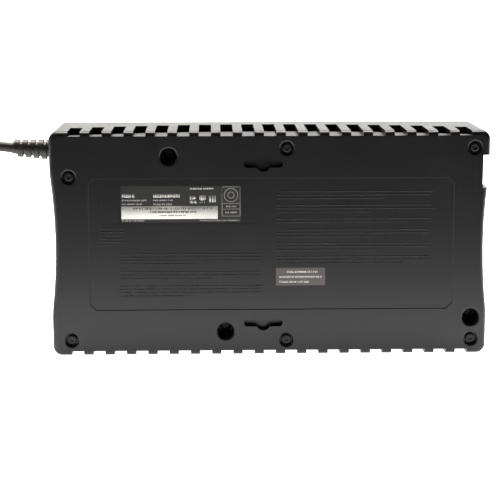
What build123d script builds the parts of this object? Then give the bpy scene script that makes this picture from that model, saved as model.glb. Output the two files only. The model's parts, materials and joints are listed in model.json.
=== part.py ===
from build123d import *
import math
import os

# Uninterruptible power supply, standing on one long side.
# +X runs along the length, +Y from the base plate to the outlet face, +Z up, millimetres.
# The origin is the bottom centre of the body.

os.makedirs("parts", exist_ok=True)

# ---- driving dimensions -------------------------------------------------------------------
LENGTH = 335.0
HEIGHT = 173.4
DEPTH = 88.0
CORNER_R = 7.0
SCOOP = 3.4                      # how far the end walls curve inwards
SCOOP_LOW, SCOOP_HIGH = 34.0, 142.0
KINK_R = 60.0

BASE_Y = -DEPTH / 2              # outer face of the base plate
FACE_Y = DEPTH / 2               # outlet face
RIM = 4.5                        # height of the base plate's rim, up to the parting line
PART_Y = BASE_Y + RIM
BASE_T = 3.0                     # base plate wall
FLOOR_Y = BASE_Y + BASE_T        # inner face of the base plate
EDGE_R = 3.8                     # round along the edge of the base face
WALL = 3.2                       # cover side wall
FACE_T = 3.0                     # cover face wall
CEIL_Y = FACE_Y - FACE_T         # inner face of the outlet wall
GROOVE = 0.8                     # width and depth of the groove there
SHOULDER_Y = 32.0                # where the bevelled shoulder starts
SHOULDER_IN = 10.5               # how far the shoulder leans in
FLANGE_IN = 3.6                  # flange face below the rib surface
FLANGE_T = 2.4

SLOT_COUNT = 19
SLOT_PITCH = 16.48
SLOT_W = 9.4
SLOT_REACH = 55.0                # the middle slot's far end above the base face
SLOT_DROP = 25.5                 # how much shorter the end slots are
FLANGE_BELOW = 21.0              # the flange's edge below the slot ends

SCREWS = [(12.7, 160.4), (12.7, 11.85), (155.7, 160.4), (155.7, 11.85), (-152.8, 138.8), (-152.8, 12.4)]
WELLS = [(-77.0, 154.3), (-34.2, 18.9), (155.2, 28.9)]
KEYHOLES = [(-5.2, 148.3), (-5.2, 25.0)]
KEY_SLOT, KEY_W, KEY_R = 29.8, 5.3, 5.75
CUP_X, CUP_Z = 19.0, 9.5         # half sides of the closed cup behind each keyhole
CUP_T, CUP_DEEP = 1.2, 7.8       # its wall, and its floor below the base face
BORE_R, BORE_DEEP, LIP = 4.7, 4.0, 1.8
BOSS_R, BOSS_TOP = 6.6, BASE_Y + 9.0
WELL_R, WELL_DEEP, WELL_BOSS_R = 6.1, 22.0, 8.2
POST_R = 4.5
SOCKET_DEEP = 1.3

PANEL = (-138.4, 140.6, 35.6, 137.8)       # x0, x1, z0, z1
PANEL_DEEP = 0.6
PANEL_CLIP, PANEL_TAPER = 4.6, 40.0         # clipped corners, and the slope of its walls in degrees
LABEL_BED = (-131.0, -4.5, 103.0, 133.2)
LABEL = (-113.6, -22.2, 103.9, 132.1)
SMALL_LABEL = (4.5, 42.3, 54.5, 68.3)
LABEL_T = 0.2

NOTCH_X, NOTCH_LOW, NOTCH_HIGH = 162.0, 129.6, 154.7
NOTCH_Y = 14.0                   # far end of the notch
PORT_Z, PORT_HALF = 142.1, 6.2   # window for the ports: its middle and half its height
PORT_WINDOW = (-33.2, 8.2)

OUTLET_X = [-105.0, -62.0, -19.0, 50.0]
ROWS = {"lower": 27.5, "upper": 145.9}
BLADE_GAP = 12.7
GROUND_STEP = 11.9
FIELD, FIELD_R, FIELD_DEEP = (29.0, 26.0), 4.0, 0.5
FIELD_STEP = 4.6                 # middle of the sunk field from the blades
BLOCK_Z, BLOCK_Y = 23.6, 19.0    # block height across the row, and its inner end
BLOCK_X0, BLOCK_X1 = -117.5, 68.0

BATTERY = (2.0, 153.0, 39.9, 133.5)
BATTERY_Y0, BATTERY_Y1 = -39.5, 25.5
TAB_Z = 6.3

COIL_AT = (-115.0, 63.0)         # transformer centre
CORE_X, CORE_Z, CORE_Y = 66.0, 52.0, 55.0
CORE_Y0 = -39.0

BOARD = (-70.0, -2.0, 30.0, 143.0)
BOARD_Y, BOARD_T = -34.0, 1.6
BOARD_TOP = BOARD_Y + BOARD_T

BUTTON_AT = (138.0, 74.0)
BUTTON_R = 7.6
LED_Z = [92.0, 100.0, 108.0]
PANEL_BOARD_Y = 29.0
BREAKER_AT = (-139.0, 114.0)
BREAKER_R = 3.2
POCKET_DEEP = 5.0
GRILLE_AT = (-139.0, 62.0)

CORD_R = 3.85
CORD_Y = -11.0
EXIT_X, EXIT_Z = -167.5, 156.2
RELIEF_TIP = (-198.5, CORD_Y, 157.9)
RING_ROWS, RING_PITCH, RING_LONG = 5, 6.1, 4.3     # half rings of the strain relief
RING_BIG, RING_SHRINK, RING_LAP = 7.8, 0.12, 1.6
RING_R = 41.5                    # coil radius at the middle of its turns
RING_AT = (-303.0, 13.2)
UNWIND = 17.0                    # where the last turn leaves the coil, degrees from +X
TURN = 2 * CORD_R


def level(y):
    """Plane square to Y at height y, with local x along +X and local y along +Z."""
    return Plane.XZ.offset(-y)


def finish(part, name):
    part.label = name
    export_step(part, "parts/" + name + ".step")


def rect(x0, x1, z0, z1):
    """Rectangle in the open sketch, given by its sides."""
    with Locations(((x0 + x1) / 2, (z0 + z1) / 2)):
        return Rectangle(x1 - x0, z1 - z0)


def slab(x0, x1, z0, z1, y0, y1, mode=Mode.ADD):
    """Block between two Y levels, added to the open part."""
    with BuildSketch(level(y0)) as side:
        rect(x0, x1, z0, z1)
    extrude(side.sketch, amount=y0 - y1, mode=mode)


def disc(x, z, r, y0, y1, mode=Mode.ADD):
    """Round bar along Y, added to the open part."""
    with BuildSketch(level(y0)) as end:
        with Locations((x, z)):
            Circle(r)
    extrude(end.sketch, amount=y0 - y1, mode=mode)


def slot_x(i):
    return (i - (SLOT_COUNT - 1) / 2) * SLOT_PITCH


def arc_drop(x):
    """How far the line of slot ends has dropped at x, on one circular arc."""
    half = slot_x(SLOT_COUNT - 1)
    radius = (half * half + SLOT_DROP * SLOT_DROP) / (2 * SLOT_DROP)
    return radius - math.sqrt(radius * radius - x * x)


def outline(y, inset=0.0):
    """Body outline with scooped ends and rounded corners, drawn at level y."""
    half = LENGTH / 2 - inset
    low = inset
    high = HEIGHT - inset
    middle = (SCOOP_LOW + SCOOP_HIGH) / 2
    with BuildSketch(level(y)) as face:
        with BuildLine():
            Line((-half, low), (half, low))
            Line((half, low), (half, SCOOP_LOW))
            ThreePointArc((half, SCOOP_LOW), (half - SCOOP, middle), (half, SCOOP_HIGH))
            Line((half, SCOOP_HIGH), (half, high))
            Line((half, high), (-half, high))
            Line((-half, high), (-half, SCOOP_HIGH))
            ThreePointArc((-half, SCOOP_HIGH), (SCOOP - half, middle), (-half, SCOOP_LOW))
            Line((-half, SCOOP_LOW), (-half, low))
        make_face()
        corners = face.vertices().group_by(Axis.Y)
        fillet(corners[0] + corners[-1], max(CORNER_R - inset, 2.5))
        kinks = [v for v in face.vertices() if min(abs(v.Y - SCOOP_LOW), abs(v.Y - SCOOP_HIGH)) < 0.01]
        fillet(kinks, KINK_R)
    return face.sketch


# ---- base plate -----------------------------------------------------------------------------
def flange_wall(z0):
    """Long flange behind one row of slots: its edge follows the arc of the slot ends."""
    reach = slot_x(SLOT_COUNT - 1) + 4.0
    top = BASE_Y + SLOT_REACH - FLANGE_BELOW
    ends = top - arc_drop(slot_x(SLOT_COUNT - 1))
    with BuildSketch(Plane.XY.offset(z0)) as wall:
        with BuildLine():
            Line((-reach, FLOOR_Y - 1), (reach, FLOOR_Y - 1))
            Line((reach, FLOOR_Y - 1), (reach, ends))
            ThreePointArc((reach, ends), (0, top), (-reach, ends))
            Line((-reach, ends), (-reach, FLOOR_Y - 1))
        make_face()
    extrude(wall.sketch, amount=FLANGE_T)


with BuildPart() as base_plate:
    extrude(outline(BASE_Y), amount=-RIM)
    fillet(base_plate.faces().sort_by(Axis.Y)[0].edges(), EDGE_R)
    with BuildSketch(level(FLOOR_Y)):
        rect(-158, 158, FLANGE_IN + FLANGE_T, HEIGHT - FLANGE_IN - FLANGE_T)
    extrude(amount=-RIM, mode=Mode.SUBTRACT)
    flange_wall(FLANGE_IN)
    flange_wall(HEIGHT - FLANGE_IN - FLANGE_T)
    for side in (-1, 1):
        slab(*sorted((side * 157.0, side * 159.0)), 95, 118, FLOOR_Y - 1, BASE_Y + 11)
    # screw bosses, well bosses, keyhole collars
    for x, z in SCREWS:
        disc(x, z, BOSS_R, FLOOR_Y - 0.5, BOSS_TOP)
    for x, z in WELLS:
        disc(x, z, WELL_BOSS_R, FLOOR_Y - 0.5, BASE_Y + WELL_DEEP + 3)
    for x, z in KEYHOLES:
        slab(x - CUP_X, x + CUP_X, z - CUP_Z, z + CUP_Z, FLOOR_Y - 0.5, BASE_Y + CUP_DEEP + CUP_T)
    # battery fence and board standoffs
    for x in (BATTERY[0] - 2.2, BATTERY[1] + 0.3):
        slab(x, x + 1.9, 50, 124, FLOOR_Y - 0.5, FLOOR_Y + 14)
    for z in (BATTERY[2] - 2.2, BATTERY[3] + 0.3):
        slab(28, 60, z, z + 1.9, FLOOR_Y - 0.5, FLOOR_Y + 14)
        slab(96, 128, z, z + 1.9, FLOOR_Y - 0.5, FLOOR_Y + 14)
    for x in (BOARD[0] + 5, BOARD[1] - 5):
        for z in (BOARD[2] + 5, BOARD[3] - 5):
            disc(x, z, 4.0, FLOOR_Y - 0.5, BOARD_Y)
    for x in (-153.5, -76.5):
        for z in (COIL_AT[1] - 13, COIL_AT[1] + 13):
            disc(x, z, 4.0, FLOOR_Y - 0.5, CORE_Y0)
    # stiffening ribs across the floor
    for x in (-150, -95, -74):
        slab(x, x + 1.6, 104, 150, FLOOR_Y - 0.5, FLOOR_Y + 4)
    # castellated rim
    for i in range(SLOT_COUNT):
        x = slot_x(i)
        slab(x - SLOT_W / 2, x + SLOT_W / 2, -1, FLANGE_IN, BASE_Y - 1, PART_Y + 1, Mode.SUBTRACT)
        slab(x - SLOT_W / 2, x + SLOT_W / 2, HEIGHT - FLANGE_IN, HEIGHT + 1, BASE_Y - 1, PART_Y + 1, Mode.SUBTRACT)
    slab(NOTCH_X, LENGTH, NOTCH_LOW, NOTCH_HIGH, BASE_Y - 1, PART_Y + 1, Mode.SUBTRACT)
    # shallow panel with clipped corners, and the bed of the label in it
    with BuildSketch(level(BASE_Y)) as recess:
        rect(*PANEL)
        chamfer(recess.vertices(), PANEL_CLIP)
    extrude(amount=-PANEL_DEEP, taper=PANEL_TAPER, mode=Mode.SUBTRACT)
    slab(*LABEL_BED, BASE_Y, BASE_Y + PANEL_DEEP + 0.3, Mode.SUBTRACT)
    # counterbores with rounded lips
    for x, z in SCREWS:
        disc(x, z, BORE_R, BASE_Y - 1, BASE_Y + BORE_DEEP, Mode.SUBTRACT)
        disc(x, z, 2.1, BASE_Y, BOSS_TOP + 1, Mode.SUBTRACT)
    for x, z in WELLS:
        disc(x, z, WELL_R, BASE_Y - 1, BASE_Y + WELL_DEEP, Mode.SUBTRACT)
        disc(x, z, 2.1, BASE_Y, BASE_Y + WELL_DEEP + 4, Mode.SUBTRACT)
    for x, z in SCREWS + WELLS:
        lip = base_plate.edges().filter_by(GeomType.CIRCLE).filter_by(
            lambda e, x=x, z=z: abs(e.arc_center.X - x) < 0.01
            and abs(e.arc_center.Z - z) < 0.01
            and abs(e.arc_center.Y - BASE_Y) < 0.01
        )
        fillet(lip, LIP)
    # keyholes, open both ways along X, each into a closed cup that takes the screw head
    for x, z in KEYHOLES:
        with BuildSketch(level(BASE_Y)):
            with Locations((x, z)):
                SlotOverall(KEY_SLOT, KEY_W)
                Circle(KEY_R)
        extrude(amount=-CUP_DEEP, mode=Mode.SUBTRACT)
        inside = (x - CUP_X + CUP_T, x + CUP_X - CUP_T, z - CUP_Z + CUP_T, z + CUP_Z - CUP_T)
        slab(*inside, BASE_Y + PANEL_DEEP + BASE_T, BASE_Y + CUP_DEEP, Mode.SUBTRACT)
finish(base_plate.part, "base_plate")


# ---- top cover ------------------------------------------------------------------------------
def outlet_hole(x, z, deep):
    """Shallow sunk field with two blade slots and a round earth hole, cut from the outlet face."""
    with BuildSketch(level(FACE_Y)) as field:
        with Locations((x + FIELD_STEP, z)):
            RectangleRounded(*FIELD, FIELD_R)
    extrude(field.sketch, amount=FIELD_DEEP, mode=Mode.SUBTRACT)
    with BuildSketch(level(FACE_Y)) as holes:
        with Locations((x, z + BLADE_GAP / 2)):
            SlotOverall(8.4, 2.6)
        with Locations((x, z - BLADE_GAP / 2)):
            SlotOverall(9.6, 2.6)
        with Locations((x + GROUND_STEP, z)):
            Circle(2.75)
    extrude(holes.sketch, amount=deep, mode=Mode.SUBTRACT)


with BuildPart() as top_cover:
    extrude(outline(PART_Y), amount=PART_Y - SHOULDER_Y)
    loft([outline(SHOULDER_Y), outline(FACE_Y, SHOULDER_IN)])
    fillet(top_cover.faces().sort_by(Axis.Y)[-1].edges(), 3.0)
    extrude(outline(PART_Y, WALL), amount=PART_Y - SHOULDER_Y + 1.0, mode=Mode.SUBTRACT)
    loft([outline(SHOULDER_Y - 1.0, WALL), outline(CEIL_Y, WALL + SHOULDER_IN - 1.0)], mode=Mode.SUBTRACT)
    # vent slots, open at the parting line
    for i in range(SLOT_COUNT):
        x = slot_x(i)
        top = BASE_Y + SLOT_REACH - arc_drop(x)
        slab(x - SLOT_W / 2, x + SLOT_W / 2, -1, WALL + 1, PART_Y - 1, top, Mode.SUBTRACT)
        slab(x - SLOT_W / 2, x + SLOT_W / 2, HEIGHT - WALL - 1, HEIGHT + 1, PART_Y - 1, top, Mode.SUBTRACT)
    # groove along the parting line
    with BuildSketch(level(PART_Y)) as groove:
        add(outline(PART_Y))
        add(outline(PART_Y, GROOVE), mode=Mode.SUBTRACT)
    extrude(groove.sketch, amount=-GROOVE, mode=Mode.SUBTRACT)
    # port recess in the right end, with its own walls
    slab(NOTCH_X - 2.6, 166.0, NOTCH_LOW - 2.6, NOTCH_HIGH + 2.6, PART_Y, NOTCH_Y + 2.6)
    for x, z in SCREWS:
        disc(x, z, BOSS_R + 0.4, PART_Y - 1, BOSS_TOP + 0.2, Mode.SUBTRACT)
    slab(NOTCH_X, LENGTH, NOTCH_LOW, NOTCH_HIGH, PART_Y - 1, NOTCH_Y, Mode.SUBTRACT)
    slab(NOTCH_X - 4, NOTCH_X + 1, PORT_Z - PORT_HALF, PORT_Z + PORT_HALF, *PORT_WINDOW, Mode.SUBTRACT)
    # screw posts down to the base plate's bosses
    for x, z in SCREWS:
        disc(x, z, POST_R, BOSS_TOP, CEIL_Y + 0.5)
        disc(x, z, 1.5, BOSS_TOP - 1, BOSS_TOP + 14, Mode.SUBTRACT)
    # breaker pocket and its through hole
    disc(*BREAKER_AT, 8.5, CEIL_Y - 5.0, CEIL_Y + 0.5)
    disc(*BREAKER_AT, 6.5, FACE_Y - POCKET_DEEP, FACE_Y + 1, Mode.SUBTRACT)
    disc(*BREAKER_AT, BREAKER_R + 0.3, CEIL_Y - 6, FACE_Y, Mode.SUBTRACT)
    # button collar and bore, light pipe bores, posts of the front board
    disc(*BUTTON_AT, BUTTON_R + 2.2, CEIL_Y - 3.0, CEIL_Y + 0.5)
    disc(*BUTTON_AT, BUTTON_R + 0.3, CEIL_Y - 4.0, FACE_Y + 1, Mode.SUBTRACT)
    for z in LED_Z:
        disc(BUTTON_AT[0], z, 1.6, CEIL_Y - 1, FACE_Y + 1, Mode.SUBTRACT)
    for x in (BUTTON_AT[0] - 11, BUTTON_AT[0] + 11):
        disc(x, 100.0, 3.0, PANEL_BOARD_Y + 1.6, CEIL_Y + 0.5)
        disc(x, 100.0, 1.0, PANEL_BOARD_Y, PANEL_BOARD_Y + 8.6, Mode.SUBTRACT)
    for row_z in ROWS.values():
        for x in OUTLET_X:
            outlet_hole(x, row_z, FACE_T + 1)
    # cord exit in the left end
    with BuildSketch(Plane.YZ.offset(-LENGTH / 2 - 1)):
        with Locations((CORD_Y, EXIT_Z)):
            Circle(6.0)
    extrude(amount=6, mode=Mode.SUBTRACT)
    # sounder grille
    with BuildSketch(level(FACE_Y)):
        with Locations(GRILLE_AT):
            with GridLocations(4.0, 4.0, 4, 4):
                Circle(0.9)
    extrude(amount=FACE_T + 1, mode=Mode.SUBTRACT)
finish(top_cover.part, "top_cover")


# ---- fasteners --------------------------------------------------------------------------------
def screw(x, z, seat, r_head, head, r_shank, length):
    """Pan-head screw driven along +Y: the head stands out of its seat towards -Y."""
    disc(x, z, r_head, seat - head, seat)
    disc(x, z, r_shank, seat - 0.1, seat + length)


def socket(x, z, top, radius):
    """Six-sided drive socket in a screw head."""
    with BuildSketch(level(top)) as drive:
        with Locations((x, z)):
            RegularPolygon(radius, 6)
    extrude(drive.sketch, amount=-SOCKET_DEEP, mode=Mode.SUBTRACT)


with BuildPart() as case_screws:
    for x, z in SCREWS:
        seat = BASE_Y + BORE_DEEP
        screw(x, z, seat, 3.9, 2.4, 1.4, 16.0)
        socket(x, z, seat - 2.4, 1.7)
finish(case_screws.part, "case_screws")

with BuildPart() as chassis_screws:
    for x, z in WELLS:
        seat = BASE_Y + WELL_DEEP
        screw(x, z, seat, 4.4, 2.6, 1.8, 2.9)
        socket(x, z, seat - 2.6, 2.0)
finish(chassis_screws.part, "chassis_screws")

with BuildPart() as transformer_screws:
    for x in (-153.5, -76.5):
        for z in (COIL_AT[1] - 13, COIL_AT[1] + 13):
            disc(x, z, 3.2, CORE_Y0 + 1.2, CORE_Y0 + 3.4)
finish(transformer_screws.part, "transformer_screws")

with BuildPart() as main_board_screws:
    for x in (BOARD[0] + 5, BOARD[1] - 5):
        for z in (BOARD[2] + 5, BOARD[3] - 5):
            disc(x, z, 2.9, BOARD_TOP, BOARD_TOP + 2.0)
finish(main_board_screws.part, "main_board_screws")

with BuildPart() as front_board_screws:
    for x in (BUTTON_AT[0] - 11, BUTTON_AT[0] + 11):
        disc(x, 100.0, 2.4, PANEL_BOARD_Y - 1.8, PANEL_BOARD_Y)
        disc(x, 100.0, 0.95, PANEL_BOARD_Y - 0.1, PANEL_BOARD_Y + 7.0)
finish(front_board_screws.part, "front_board_screws")

# ---- labels -----------------------------------------------------------------------------------
with BuildPart() as rating_label:
    bed = BASE_Y + PANEL_DEEP + 0.3
    slab(*LABEL, bed - LABEL_T, bed)
    fillet(rating_label.edges().filter_by(Axis.Y), 1.2)
finish(rating_label.part, "rating_label")

with BuildPart() as small_label:
    slab(*SMALL_LABEL, BASE_Y + PANEL_DEEP - LABEL_T, BASE_Y + PANEL_DEEP)
    fillet(small_label.edges().filter_by(Axis.Y), 0.8)
finish(small_label.part, "small_label")


# ---- outlets ----------------------------------------------------------------------------------
def outlet_block(row_z):
    """Moulded carrier behind one row of outlets: a frame with two partitions."""
    low = row_z - BLOCK_Z / 2
    high = row_z + BLOCK_Z / 2
    slab(BLOCK_X0, BLOCK_X1, low, high, BLOCK_Y, CEIL_Y)
    slab(BLOCK_X0 + 1.5, BLOCK_X1 - 1.5, low + 1.5, row_z - 3.4, BLOCK_Y - 1, CEIL_Y + 1, Mode.SUBTRACT)
    slab(BLOCK_X0 + 1.5, BLOCK_X1 - 1.5, row_z - 2.6, row_z + 2.6, BLOCK_Y - 1, CEIL_Y + 1, Mode.SUBTRACT)
    slab(BLOCK_X0 + 1.5, BLOCK_X1 - 1.5, row_z + 3.4, high - 1.5, BLOCK_Y - 1, CEIL_Y + 1, Mode.SUBTRACT)
    for x, z in SCREWS[:2]:
        disc(x, z, POST_R + 0.3, BLOCK_Y - 1, CEIL_Y + 1, Mode.SUBTRACT)


def bus_strip(z, step, reach):
    """Brass strip with a pair of spring leaves under each outlet."""
    slab(OUTLET_X[0] + step - 6, OUTLET_X[-1] + step + 4, z - 2.2, z + 2.2, BLOCK_Y + 0.5, BLOCK_Y + 1.3)
    for x in OUTLET_X:
        for side in (-1, 1):
            leaf = sorted((z + side * 1.0, z + side * 1.6))
            slab(x + step - reach / 2, x + step + reach / 2, *leaf, BLOCK_Y + 1.2, BLOCK_Y + 15.0)


for row, row_z in ROWS.items():
    with BuildPart() as block:
        outlet_block(row_z)
    finish(block.part, "outlet_block_" + row)
    with BuildPart() as line_strip:
        bus_strip(row_z + BLADE_GAP / 2, 0.0, 7.0)
    finish(line_strip.part, "line_strip_" + row)
    with BuildPart() as neutral_strip:
        bus_strip(row_z - BLADE_GAP / 2, 0.0, 7.0)
    finish(neutral_strip.part, "neutral_strip_" + row)
    with BuildPart() as earth_strip:
        bus_strip(row_z, GROUND_STEP, 3.6)
    finish(earth_strip.part, "earth_strip_" + row)

# ---- battery ----------------------------------------------------------------------------------
TABS_X = (14.0, 28.0)
with BuildPart() as battery_case:
    slab(*BATTERY, BATTERY_Y0, BATTERY_Y1)
    fillet(battery_case.edges().filter_by(Axis.Z), 2.0)
finish(battery_case.part, "battery_case")

for x, pole in zip(TABS_X, ("positive", "negative")):
    with BuildPart() as tab:
        slab(x - 3.15, x + 3.15, BATTERY[3], BATTERY[3] + TAB_Z, -14.4, -13.6)
    finish(tab.part, "battery_tab_" + pole)

with BuildPart() as battery_foam_pad:
    slab(BATTERY[0] + 20, BATTERY[1] - 40, BATTERY[2] + 12, BATTERY[3] - 22, BATTERY_Y1, CEIL_Y - 0.5)
finish(battery_foam_pad.part, "battery_foam_pad")

# ---- transformer --------------------------------------------------------------------------------
TX, TZ = COIL_AT
CORE_MID_Y = CORE_Y0 + CORE_Y / 2
LEG = 22.0
WINDOW = 11.0
WINDOW_Y = 16.5
with BuildPart() as transformer_core:
    slab(TX - CORE_X / 2, TX + CORE_X / 2, TZ - CORE_Z / 2, TZ + CORE_Z / 2, CORE_Y0, CORE_Y0 + CORE_Y)
    for side in (-1, 1):
        window = sorted((TX + side * LEG / 2, TX + side * (LEG / 2 + WINDOW)))
        slab(*window, TZ - CORE_Z, TZ + CORE_Z, CORE_MID_Y - WINDOW_Y, CORE_MID_Y + WINDOW_Y, Mode.SUBTRACT)
finish(transformer_core.part, "transformer_core")


def sleeve(half_x, half_z, hole_x, hole_z, y0, y1):
    """Rectangular ring round the core's middle leg."""
    with BuildSketch(level(y0)) as ring:
        with Locations((TX, TZ)):
            RectangleRounded(2 * half_x, 2 * half_z, 2.0)
            Rectangle(2 * hole_x, 2 * hole_z, mode=Mode.SUBTRACT)
    extrude(ring.sketch, amount=y0 - y1)


with BuildPart() as transformer_bobbin:
    sleeve(12.4, 27.6, 11.2, 26.2, CORE_MID_Y - 16.3, CORE_MID_Y + 16.3)
    sleeve(21.6, 37.0, 11.2, 26.2, CORE_MID_Y - 16.3, CORE_MID_Y - 15.0)
    sleeve(21.6, 37.0, 11.2, 26.2, CORE_MID_Y + 15.0, CORE_MID_Y + 16.3)
finish(transformer_bobbin.part, "transformer_bobbin")

with BuildPart() as transformer_winding:
    sleeve(20.8, 36.2, 12.5, 27.7, CORE_MID_Y - 14.9, CORE_MID_Y + 14.9)
finish(transformer_winding.part, "transformer_winding")

with BuildPart() as transformer_frame:
    strap = (TZ - 20, TZ + 20)
    side_x = CORE_X / 2 + 0.2
    top_y = CORE_Y0 + CORE_Y + 0.2
    slab(TX - side_x - 1.2, TX + side_x + 1.2, *strap, top_y, top_y + 1.2)
    slab(TX - side_x - 1.2, TX - side_x, *strap, CORE_Y0, top_y + 0.5)
    slab(TX + side_x, TX + side_x + 1.2, *strap, CORE_Y0, top_y + 0.5)
    slab(TX - side_x - 9.5, TX - side_x, *strap, CORE_Y0, CORE_Y0 + 1.2)
    slab(TX + side_x, TX + side_x + 9.5, *strap, CORE_Y0, CORE_Y0 + 1.2)
finish(transformer_frame.part, "transformer_frame")

# ---- main board ---------------------------------------------------------------------------------
with BuildPart() as main_board:
    slab(*BOARD, BOARD_Y, BOARD_TOP)
finish(main_board.part, "main_board")

with BuildPart() as heat_sinks:
    for x in (-62.0, -40.0):
        slab(x, x + 2.0, 44, 92, BOARD_TOP, BOARD_TOP + 38)
        for i in range(6):
            z = 46 + i * 8.4
            slab(x + 1.9, x + 10.0, z, z + 1.4, BOARD_TOP + 4, BOARD_TOP + 38)
finish(heat_sinks.part, "heat_sinks")

with BuildPart() as power_transistors:
    for x in (-66.6, -44.6):
        for z in (54.0, 72.0):
            slab(x, x + 4.5, z, z + 10, BOARD_TOP + 8, BOARD_TOP + 24)
            for dz in (2.0, 5.0, 8.0):
                slab(x + 2, x + 2.6, z + dz - 0.4, z + dz + 0.4, BOARD_TOP, BOARD_TOP + 8.2)
finish(power_transistors.part, "power_transistors")

with BuildPart() as relays:
    for z in (100.0, 114.0):
        slab(-66, -38, z, z + 12.5, BOARD_TOP, BOARD_TOP + 16)
        fillet(relays.edges().filter_by(Axis.Y).group_by(Axis.Z)[-1], 0.8)
finish(relays.part, "relays")

with BuildPart() as bulk_capacitors:
    for z in (52.0, 66.0, 80.0):
        disc(-18.0, z, 6.2, BOARD_TOP, BOARD_TOP + 22)
    fillet(bulk_capacitors.edges().filter_by(GeomType.CIRCLE).group_by(Axis.Y)[-1], 0.9)
finish(bulk_capacitors.part, "bulk_capacitors")

with BuildPart() as film_capacitor:
    slab(-30, -12, 92, 101, BOARD_TOP, BOARD_TOP + 15)
    fillet(film_capacitor.edges().filter_by(Axis.Y), 1.0)
finish(film_capacitor.part, "film_capacitor")

with BuildPart() as varistors:
    for z in (108.0, 116.0, 124.0):
        with BuildSketch(Plane.XY.offset(z)):
            with Locations((-20, BOARD_TOP + 11)):
                Circle(7.0)
        extrude(amount=4)
        for x in (-23.5, -17.3):
            slab(x, x + 0.8, z + 1.6, z + 2.4, BOARD_TOP, BOARD_TOP + 6)
finish(varistors.part, "varistors")

with BuildPart() as line_choke:
    with BuildSketch(Plane.XY.offset(132)):
        with Locations((-25, BOARD_TOP + 11)):
            Circle(10.5)
            Circle(4.5, mode=Mode.SUBTRACT)
    extrude(amount=8)
    fillet(line_choke.edges().filter_by(GeomType.CIRCLE), 1.6)
finish(line_choke.part, "line_choke")

with BuildPart() as controller_chip:
    slab(-34, -14, 36, 43, BOARD_TOP + 0.8, BOARD_TOP + 4)
    for i in range(10):
        x = -33.0 + i * 2.0
        for z0, z1 in ((34.6, 36.2), (42.8, 44.4)):
            slab(x - 0.3, x + 0.3, z0, z1, BOARD_TOP, BOARD_TOP + 2.4)
finish(controller_chip.part, "controller_chip")

with BuildPart() as fuse:
    slab(-60, -41, 34.5, 39.5, BOARD_TOP + 6, BOARD_TOP + 17)
    for x in (-58.5, -47.5):
        slab(x, x + 5, 36.6, 37.4, BOARD_TOP, BOARD_TOP + 6.2)
finish(fuse.part, "fuse")

with BuildPart() as buzzer:
    disc(*GRILLE_AT, 9.0, CEIL_Y - 9.0, CEIL_Y)
    disc(*GRILLE_AT, 1.5, CEIL_Y - 3.0, CEIL_Y + 1.0, Mode.SUBTRACT)
finish(buzzer.part, "buzzer")

# ---- breaker ------------------------------------------------------------------------------------
BX, BZ = BREAKER_AT
with BuildPart() as breaker_body:
    slab(BX - 7, BX + 7, BZ - 15, BZ + 15, 12.0, CEIL_Y - 5.2)
    disc(BX, BZ, 5.0, CEIL_Y - 5.3, CEIL_Y - 5.05)
    disc(BX, BZ, 1.9, 20.0, CEIL_Y, Mode.SUBTRACT)
finish(breaker_body.part, "breaker_body")

with BuildPart() as breaker_button:
    disc(BX, BZ, BREAKER_R, FACE_Y - 8.0, FACE_Y - 1.6)
    disc(BX, BZ, 1.6, 24.0, FACE_Y - 7.9)
    fillet(breaker_button.edges().filter_by(GeomType.CIRCLE).group_by(Axis.Y)[-1], 0.8)
finish(breaker_button.part, "breaker_button")

with BuildPart() as breaker_tabs:
    for z in (BZ - 9, BZ + 9):
        slab(BX - 3.15, BX + 3.15, z - 0.4, z + 0.4, 4.0, 12.0)
finish(breaker_tabs.part, "breaker_tabs")

# ---- power button and indicators ----------------------------------------------------------------
UX, UZ = BUTTON_AT
with BuildPart() as front_board:
    slab(UX - 14.5, UX + 14.5, UZ - 10, 116, PANEL_BOARD_Y, PANEL_BOARD_Y + 1.6)
    for x in (UX - 11, UX + 11):
        disc(x, 100.0, 1.1, PANEL_BOARD_Y - 1, PANEL_BOARD_Y + 3, Mode.SUBTRACT)
finish(front_board.part, "front_board")

with BuildPart() as tact_switch:
    top = PANEL_BOARD_Y + 1.6
    slab(UX - 3, UX + 3, UZ - 3, UZ + 3, top, top + 3.4)
    disc(UX, UZ, 1.6, top + 3.3, top + 4.0)
finish(tact_switch.part, "tact_switch")

with BuildPart() as power_button:
    disc(UX, UZ, BUTTON_R, CEIL_Y - 3.2, FACE_Y - 0.3)
    disc(UX, UZ, BUTTON_R - 1.5, CEIL_Y - 3.3, CEIL_Y + 0.6, Mode.SUBTRACT)
    disc(UX, UZ, 1.8, PANEL_BOARD_Y + 7.4, CEIL_Y + 1.0)
    fillet(power_button.edges().filter_by(GeomType.CIRCLE).group_by(Axis.Y)[-1], 0.8)
finish(power_button.part, "power_button")

SPRING_R, SPRING_WIRE = 4.6, 0.35
with BuildPart() as button_spring:
    with BuildSketch(level(PANEL_BOARD_Y + 1.6)):
        with Locations((UX, UZ)):
            Circle(SPRING_R + SPRING_WIRE)
            Circle(SPRING_R - SPRING_WIRE, mode=Mode.SUBTRACT)
    extrude(amount=PANEL_BOARD_Y + 1.6 - CEIL_Y - 0.6)
finish(button_spring.part, "button_spring")

with BuildPart() as indicator_leds:
    for z in LED_Z:
        disc(UX, z, 1.5, PANEL_BOARD_Y + 1.6, PANEL_BOARD_Y + 5.6)
finish(indicator_leds.part, "indicator_leds")

with BuildPart() as light_pipes:
    for z in LED_Z:
        disc(UX, z, 1.55, PANEL_BOARD_Y + 6.0, FACE_Y - 0.2)
        disc(UX, z, 2.2, CEIL_Y - 1.2, CEIL_Y)
finish(light_pipes.part, "light_pipes")

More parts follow.
